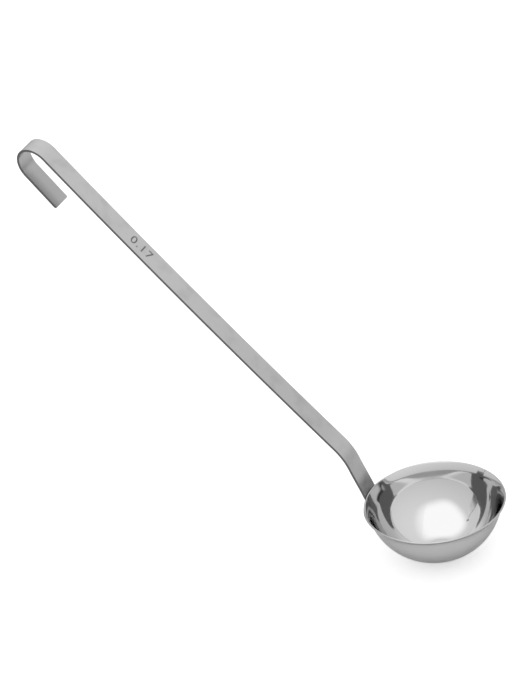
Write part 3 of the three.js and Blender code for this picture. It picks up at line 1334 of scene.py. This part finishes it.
def later_light(tree, direction, height, depth):
    """What metal shows in metal: the same soft box, and a dark flag standing low at the front."""
    place = add_node(tree, "ShaderNodeSeparateXYZ", {0: direction})
    tilt = calc(tree, "ARCCOSINE", height)
    level = calc(tree, "SQRT", calc(tree, "SUBTRACT", 1.0, calc(tree, "MULTIPLY", height, height)))
    scale = calc(tree, "DIVIDE", tilt, calc(tree, "MAXIMUM", level, 0.001))
    right = calc(tree, "MULTIPLY", place.outputs["X"], scale)
    back = calc(tree, "MULTIPLY", place.outputs["Y"], scale)
    step_start, step_end = FLAG["step"]
    top = fade(tree, right, step_start, step_end, *FLAG["top"])
    soft = FLAG["soft"]
    below = fade(tree, calc(tree, "SUBTRACT", back, top), -soft, soft, 1.0, 0.0)
    foot = fade(tree, right, *FLAG["foot_step"], *FLAG["foot"])
    inside = fade(tree, calc(tree, "SUBTRACT", tilt, foot), -soft, soft, 1.0, 0.0)
    # Twice reflected, the flag ends at the left but for a low piece; after that it is whole.
    end = fade(tree, right, FLAG["end"] - soft, FLAG["end"] + soft, 1.0, 0.0)
    low = calc(tree, "LESS_THAN", back, FLAG["piece"][1])
    piece = calc(tree, "MULTIPLY", low, calc(tree, "LESS_THAN", right, FLAG["piece"][0]))
    gap = calc(tree, "MULTIPLY", end, calc(tree, "SUBTRACT", 1.0, piece))
    often = calc(tree, "GREATER_THAN", depth, 3.5)
    gap = calc(tree, "MULTIPLY", gap, calc(tree, "SUBTRACT", 1.0, often))
    flag = calc(tree, "MULTIPLY", below, inside)
    flag = calc(tree, "MULTIPLY", flag, calc(tree, "SUBTRACT", 1.0, gap))
    box = soft_box(tree, direction, calc(tree, "MAXIMUM", height, 0.001))
    lit = calc(tree, "MULTIPLY_ADD", box, LATER_BOX - LATER_LEVEL, LATER_LEVEL)
    more = calc(tree, "MAXIMUM", calc(tree, "SUBTRACT", depth, 3.0), 0.0)
    lit = calc(tree, "MULTIPLY_ADD", more, OFTEN_LIFT, lit)
    dark = calc(tree, "MULTIPLY_ADD", often, FLAG["often"] - FLAG["share"], FLAG["share"] - 1.0)
    hem = fade(tree, tilt, *FLAG["hem"], 0.0, -0.7 * FLAG["share"])
    dark = calc(tree, "ADD", dark, hem)
    share = calc(tree, "MULTIPLY_ADD", flag, dark, 1.0)
    return calc(tree, "MULTIPLY", lit, share)


def make_world():
    """A white room to the camera and about as light to the object, with what the metal reflects."""
    world = bpy.data.worlds.new("White room")
    world.use_nodes = True
    tree = world.node_tree
    tree.nodes.clear()
    direction = add_node(tree, "ShaderNodeTexCoord").outputs["Generated"]
    height = add_node(tree, "ShaderNodeSeparateXYZ", {0: direction}).outputs["Z"]
    path = add_node(tree, "ShaderNodeLightPath").outputs
    first = first_light(tree, direction, height)
    later = later_light(tree, direction, height, path["Ray Depth"])
    # The world counts the ray that reaches it too: 2 after one reflection.
    depth = calc(tree, "GREATER_THAN", path["Ray Depth"], 2.5)
    links = {"Factor": depth, "A": first, "B": later}
    seen = add_node(tree, "ShaderNodeMix", links, data_type="FLOAT").outputs["Result"]
    links = {"Factor": path["Is Glossy Ray"], "A": WHITE, "B": seen}
    strength = add_node(tree, "ShaderNodeMix", links, data_type="FLOAT").outputs["Result"]
    back = add_node(
        tree, "ShaderNodeBackground", {"Color": (1.0, 1.0, 1.0, 1.0), "Strength": strength}
    )
    add_node(tree, "ShaderNodeOutputWorld", {"Surface": back.outputs[0]})
    bpy.context.scene.world = world


CAMERA_PLACE = Vector((778.164, -1545.712, 1226.939)) * MM
CAMERA_AHEAD = Vector((-0.429116, 0.740839, -0.516736))
CAMERA_UP = Vector((-0.117314, 0.521528, 0.845131))
FOCAL_PIXELS = 3000.0
PICTURE_HEIGHT = 700.0
SENSOR = 36.0


def make_camera():
    """The photograph's view: a long lens from the front right and above."""
    data = bpy.data.cameras.new("camera")
    data.sensor_width = SENSOR
    data.lens = SENSOR * FOCAL_PIXELS / PICTURE_HEIGHT
    data.clip_start, data.clip_end = 0.05, 50.0
    camera = bpy.data.objects.new("camera", data)
    bpy.context.scene.collection.objects.link(camera)
    back = -CAMERA_AHEAD.normalized()
    right = CAMERA_UP.cross(back).normalized()
    turn = Matrix((right, back.cross(right), back)).transposed().to_4x4()
    camera.matrix_world = Matrix.Translation(CAMERA_PLACE) @ turn
    bpy.context.scene.camera = camera


class LADLE_PT_panel(bpy.types.Panel):
    """Lists the ladle's pieces with their sizes and colours"""

    bl_idname = "LADLE_PT_panel"
    bl_label = "Soup Ladle"
    bl_space_type = "VIEW_3D"
    bl_region_type = "UI"
    bl_category = "Ladle"

    def draw(self, context):
        for operator in OPERATORS:
            self.layout.operator(operator.bl_idname)
        for name, group in SETTINGS.items():
            box = self.layout.box()
            for key in group.__annotations__:
                box.prop(getattr(context.scene, name), key)


OPERATORS = (LADLE_OT_bowl, LADLE_OT_handle, LADLE_OT_welds, LADLE_OT_number, LADLE_OT_stage)
CLASSES = (*SETTINGS.values(), *OPERATORS, LADLE_PT_panel)


def register():
    for cls in CLASSES:
        bpy.utils.register_class(cls)
    for name, group in SETTINGS.items():
        setattr(bpy.types.Scene, name, PointerProperty(type=group))


def unregister():
    for name in SETTINGS:
        delattr(bpy.types.Scene, name)
    for cls in reversed(CLASSES):
        bpy.utils.unregister_class(cls)


def main():
    register()
    bpy.ops.ladle.bowl()
    bpy.ops.ladle.handle()
    bpy.ops.ladle.welds()
    bpy.ops.ladle.number()
    bpy.ops.ladle.stage()


if __name__ == "__main__":
    main()
